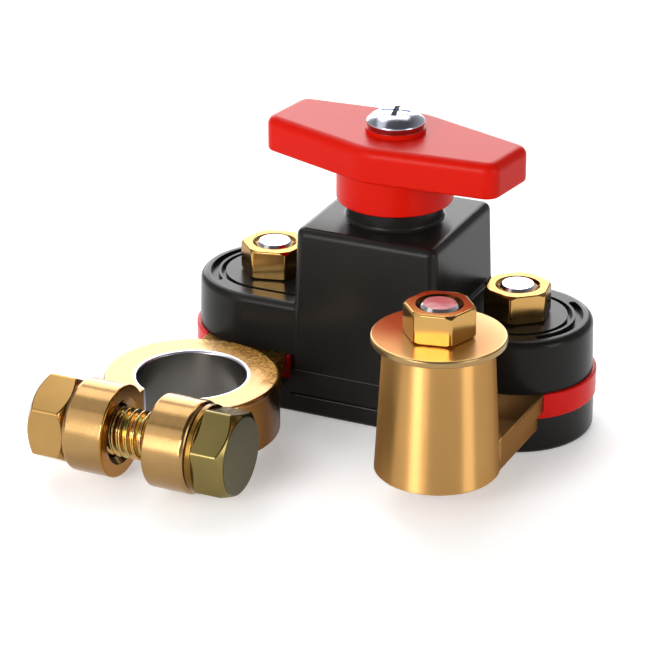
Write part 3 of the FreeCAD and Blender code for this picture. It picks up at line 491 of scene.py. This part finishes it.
nickel, tree, shader, place = finish_of("nickel_plated_steel", Metallic=1.0)
cloud = add(tree, "TexNoise", {"Vector": place, "Scale": 1 / nickel_cloud, "Detail": 2.0})
tone = add(tree, "Mix", {0: cloud.outputs["Fac"], 6: linear("#C6C4CA"), 7: linear("#DEDDE2")},
           data_type="RGBA")
tree.links.new(tone.outputs[2], shader.inputs["Base Color"])
gloss = add(tree, "MapRange", {"Value": cloud.outputs["Fac"], "To Min": 0.12, "To Max": 0.22})
tree.links.new(gloss.outputs["Result"], shader.inputs["Roughness"])
dress(["terminal_stud_left", "terminal_stud_right", "post_stud"], nickel)


# Contact plates and the bridge over them: half-hard copper strip, blanked and deburred, with the
# streaks of the rolling mill along it. The plates reach from the studs to under the bridge.
streak_length, streaks_per_length = 4 * mm, 12.0

copper, tree, shader, place = finish_of("rolled_copper", Metallic=1.0)
streaks = add(tree, "Mapping", {"Vector": place, "Scale": (1.0, streaks_per_length, 1.0)})
strip = add(tree, "TexNoise", {"Vector": streaks.outputs["Vector"], "Scale": 1 / streak_length,
                               "Detail": 3.0})
tone = add(tree, "Mix", {0: strip.outputs["Fac"], 6: linear("#C07048"), 7: linear("#D48A60")},
           data_type="RGBA")
tree.links.new(tone.outputs[2], shader.inputs["Base Color"])
gloss = add(tree, "MapRange", {"Value": strip.outputs["Fac"], "To Min": 0.22, "To Max": 0.36})
tree.links.new(gloss.outputs["Result"], shader.inputs["Roughness"])
dress(["contact_plate_left", "contact_plate_right", "contact_bridge"], copper)


# Contact spring and cover screws: drawn carbon steel, lightly oiled, which leaves it dark grey
# and half bright. The spring presses on the bridge, and the screws hold the cover from below.
draw_mark = 0.8 * mm

spring_steel, tree, shader, place = finish_of("drawn_spring_steel", Metallic=1.0)
drawn = add(tree, "TexNoise", {"Vector": place, "Scale": 1 / draw_mark, "Detail": 2.0})
tone = add(tree, "Mix", {0: drawn.outputs["Fac"], 6: linear("#77777A"), 7: linear("#8E8E92")},
           data_type="RGBA")
tree.links.new(tone.outputs[2], shader.inputs["Base Color"])
gloss = add(tree, "MapRange", {"Value": drawn.outputs["Fac"], "To Min": 0.25, "To Max": 0.40})
tree.links.new(gloss.outputs["Result"], shader.inputs["Roughness"])
dress(["contact_spring", "cover_screw_1", "cover_screw_2", "cover_screw_3", "cover_screw_4"],
      spring_steel)


# Shaft seal: nitrile rubber ring, moulded, with a film of talc that leaves it matt black. It is
# stretched over the rotor's shaft and sits in its groove.
talc_spot = 1 * mm

nitrile, tree, shader, place = finish_of("nitrile_rubber", Roughness=0.6, Specular_IOR_Level=0.3)
dust = add(tree, "TexNoise", {"Vector": place, "Scale": 1 / talc_spot, "Detail": 2.0})
tone = add(tree, "Mix", {0: dust.outputs["Fac"], 6: linear("#141414"), 7: linear("#1C1C1C")},
           data_type="RGBA")
tree.links.new(tone.outputs[2], shader.inputs["Base Color"])
dress(["shaft_seal"], nitrile)


# Handle: ABS, injection moulded in a lightly blasted tool and dyed red through. Satin, so its
# top takes a pale sheen from the light behind it while its sides stay deep red.
dye_cloud = 14 * mm

abs_red, tree, shader, place = finish_of("red_moulded_abs", Specular_IOR_Level=0.08)
cloud = add(tree, "TexNoise", {"Vector": place, "Scale": 1 / dye_cloud, "Detail": 2.0})
tone = add(tree, "Mix", {0: cloud.outputs["Fac"], 6: linear("#BE1205"), 7: linear("#C81607")},
           data_type="RGBA")
tree.links.new(tone.outputs[2], shader.inputs["Base Color"])
grain = add(tree, "TexNoise", {"Vector": place, "Scale": 1 / mould_grain, "Detail": 2.0})
gloss = add(tree, "MapRange", {"Value": grain.outputs["Fac"], "To Min": 0.27, "To Max": 0.35})
tree.links.new(gloss.outputs["Result"], shader.inputs["Roughness"])
relief = add(tree, "Bump", {"Height": grain.outputs["Fac"], "Distance": grain_depth,
                            "Strength": 0.05})
tree.links.new(relief.outputs["Normal"], shader.inputs["Normal"])
dress(["handle"], abs_red)


# Handle screw: steel, cold headed with a cross recess and bright chrome plated, so its dome
# mirrors the room in cool greys. It holds the handle on the rotor's square.
chrome_haze = 2 * mm

chrome, tree, shader, place = finish_of("bright_chrome", Metallic=1.0)
haze = add(tree, "TexNoise", {"Vector": place, "Scale": 1 / chrome_haze, "Detail": 2.0})
tone = add(tree, "Mix", {0: haze.outputs["Fac"], 6: linear("#B4B8C6"), 7: linear("#C4C6D4")},
           data_type="RGBA")
tree.links.new(tone.outputs[2], shader.inputs["Base Color"])
gloss = add(tree, "MapRange", {"Value": haze.outputs["Fac"], "To Min": 0.17, "To Max": 0.23})
tree.links.new(gloss.outputs["Result"], shader.inputs["Roughness"])
dress(["handle_screw"], chrome)


# Studio: a white table, soft panels behind and above that lay a sheen on level faces and on the
# tops of the lugs, a key and a panel in front for the lugs and nuts, and two upright strips that
# draw the stripes on the post. The room above is dim, which gives polished metal dark bands.
def lamp(name, place, size, radiance):
    """Rectangular soft light that faces the part and is as bright as radiance when looked at."""
    light = bpy.data.lights.new(name, "AREA")
    light.shape = "RECTANGLE"
    light.size, light.size_y = size
    light.energy = radiance * math.pi * size[0] * size[1]
    holder = bpy.data.objects.new(name, light)
    holder.location = place
    aim = Vector(part_middle) - Vector(place)
    holder.rotation_euler = aim.to_track_quat("-Z", "Y").to_euler()
    bpy.context.scene.collection.objects.link(holder)


part_middle = (0, -0.015, 0.02)
lamp("sky_panel", (-0.28, 0.49, 0.25), (0.60, 0.42), 4.1)
lamp("top_panel", (-0.15, 0.24, 0.53), (0.55, 0.26), 2.5)
lamp("overhead_panel", (-0.31, 0.0, 0.53), (0.62, 0.24), 1.0)
lamp("key_panel", (-0.29, -0.40, 0.36), (0.34, 0.26), 1.5)
lamp("lug_panel", (-0.27, -0.54, 0.15), (0.08, 0.24), 2.2)
lamp("front_strip", (-0.145, -0.585, 0.17), (0.19, 0.30), 11.0)
lamp("nut_panel", (0.0, -0.58, 0.29), (0.10, 0.12), 13.0)
lamp("side_strip", (0.543, -0.110, 0.17), (0.21, 0.30), 4.2)

table_half = 3.0
table_drop = 0.02 * mm
table_glow = 0.32
table_mesh = bpy.data.meshes.new("table")
table_mesh.from_pydata([(-table_half, -table_half, 0), (table_half, -table_half, 0),
                        (table_half, table_half, 0), (-table_half, table_half, 0)], [],
                       [(0, 1, 2, 3)])
white, tree, shader, place = finish_of("white_table", Roughness=0.9, Specular_IOR_Level=0.1)
shader.inputs["Base Color"].default_value = (0.92, 0.92, 0.92, 1)
path = add(tree, "LightPath")
mirrored = add(tree, "Math", {0: path.outputs["Is Glossy Ray"],
                              1: path.outputs["Is Transmission Ray"]}, operation="MAXIMUM")
seen = add(tree, "Math", {0: path.outputs["Is Camera Ray"], 1: mirrored.outputs[0]},
           operation="MAXIMUM")
glow = add(tree, "Math", {0: seen.outputs[0], 1: table_glow}, operation="MULTIPLY")
shader.inputs["Emission Color"].default_value = (1, 1, 1, 1)
tree.links.new(glow.outputs[0], shader.inputs["Emission Strength"])
table_mesh.materials.append(white)
table = bpy.data.objects.new("table", table_mesh)
table.location.z = min(cad_box[0][2], 0) - table_drop
bpy.context.scene.collection.objects.link(table)

world = bpy.data.worlds.new("studio")
bpy.context.scene.world = world
world.use_nodes = True
tree = world.node_tree
outlook = add(tree, "TexCoord")
rise = add(tree, "SeparateXYZ", {"Vector": outlook.outputs["Generated"]})
level = add(tree, "MapRange", {"Value": rise.outputs["Z"], "From Min": 0.0, "From Max": 0.85,
                               "To Min": 0.7, "To Max": 0.10})
tree.links.new(level.outputs["Result"], tree.nodes["Background"].inputs["Strength"])
tree.nodes["Background"].inputs["Color"].default_value = (1, 1, 1, 1)

azimuth, elevation, distance = math.radians(24.798), math.radians(23.945), 513.756 * mm
target = Vector((-12.948 * mm, 0, 11.053 * mm))
back = Vector((math.sin(azimuth) * math.cos(elevation), -math.cos(azimuth) * math.cos(elevation),
               math.sin(elevation)))
camera = bpy.data.objects.new("camera", bpy.data.cameras.new("camera"))
camera.data.sensor_width = 36.0
camera.data.lens = 171.73
camera.data.clip_start = 0.01
camera.location = target + back * distance
camera.rotation_euler = (-back).to_track_quat("-Z", "Y").to_euler()
bpy.context.scene.collection.objects.link(camera)
bpy.context.scene.camera = camera
bpy.context.scene.view_settings.view_transform = "Standard"
